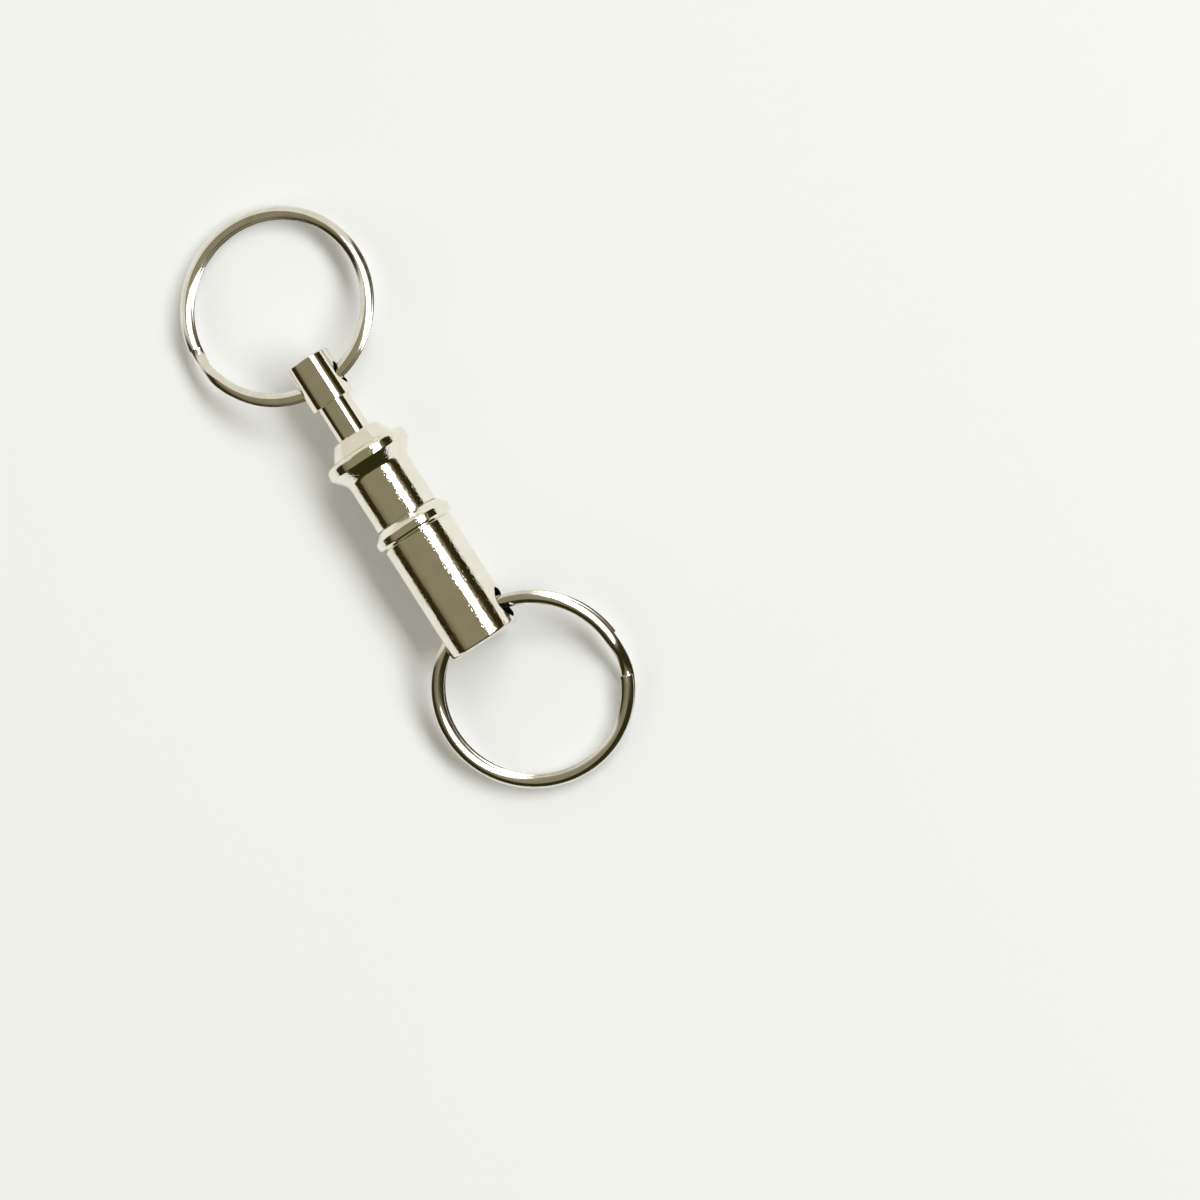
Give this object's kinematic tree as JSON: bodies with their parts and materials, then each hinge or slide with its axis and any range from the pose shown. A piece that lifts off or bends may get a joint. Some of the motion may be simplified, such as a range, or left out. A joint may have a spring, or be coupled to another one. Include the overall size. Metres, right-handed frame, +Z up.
{
  "type": "pull-apart key holder",
  "caption": "Metal quick-release coupling: a ringed plunger locks into a ringed barrel and pulls out when the flanged sleeve is slid back; a split ring hangs at each end.",
  "frame": {"origin": "under the middle of the whole object's box, on the surface it lies on", "axes": "+X along the coupling from the barrel towards the plunger's head, +Z up, coupling lying flat"},
  "size_m": [0.0816, 0.0262, 0.0111],
  "materials": {
    "plated_brass": "bright nickel plating on turned brass, lightly pitted",
    "plated_steel": "bright nickel plating on flat steel band",
    "spring_steel": "drawn wire",
    "ball_steel": "polished",
    "bare_brass": "turned"
  },
  "bodies": {
    "barrel": {"barrel": "plated_brass", "retaining_collar": "plated_brass", "return_spring": "spring_steel"},
    "sleeve": {"release_sleeve": "plated_brass", "stop_ring": "spring_steel"},
    "cage": {"ball_cage": "bare_brass"},
    "ball_1": {"lock_ball_1": "ball_steel"},
    "ball_2": {"lock_ball_2": "ball_steel"},
    "ball_3": {"lock_ball_3": "ball_steel"},
    "plunger": {"plunger": "plated_brass"},
    "upper_ring": {"upper_split_ring": "plated_steel"},
    "lower_ring": {"lower_split_ring": "plated_steel"}
  },
  "joints": [
    {"name": "swivel", "type": "hinge", "parent": "barrel", "child": "cage", "pos_m": [0, 0.00062, 0.00555], "axis": [1, 0, 0], "continuous": true},
    {"name": "plunger_pull", "type": "slide", "parent": "cage", "child": "plunger", "axis": [1, 0, 0], "range_m": [0, 0.0084]},
    {"name": "sleeve_slide", "type": "slide", "parent": "barrel", "child": "sleeve", "axis": [-1, 0, 0], "range_m": [0, 0.002], "stiffness_N_per_m": 300, "springref_m": -0.003, "deforming": ["return_spring"]},
    {"name": "ball_1_slide", "type": "slide", "parent": "cage", "child": "ball_1", "axis": [0, -1, 0], "range_m": [0, 0.00126]},
    {"name": "ball_2_slide", "type": "slide", "parent": "cage", "child": "ball_2", "axis": [0, 0.5, -0.866], "range_m": [0, 0.00126]},
    {"name": "ball_3_slide", "type": "slide", "parent": "cage", "child": "ball_3", "axis": [0, 0.5, 0.866], "range_m": [0, 0.00126]},
    {"name": "upper_ring_swing", "type": "hinge", "parent": "plunger", "child": "upper_ring", "pos_m": [0.01714, 0.00062, 0.00555], "axis": [0, 1, 0], "range_deg": [-143, 120]},
    {"name": "lower_ring_swing", "type": "hinge", "parent": "barrel", "child": "lower_ring", "pos_m": [-0.01752, 0.00062, 0.00555], "axis": [0, 0.9994, -0.0349], "range_deg": [-120, 143]}
  ],
  "couplings": [
    {"joint": "sleeve_slide", "follows": "plunger_pull", "ratio": 0.238},
    {"joint": "ball_1_slide", "follows": "plunger_pull", "ratio": 0.15},
    {"joint": "ball_2_slide", "follows": "plunger_pull", "ratio": 0.15},
    {"joint": "ball_3_slide", "follows": "plunger_pull", "ratio": 0.15}
  ]
}
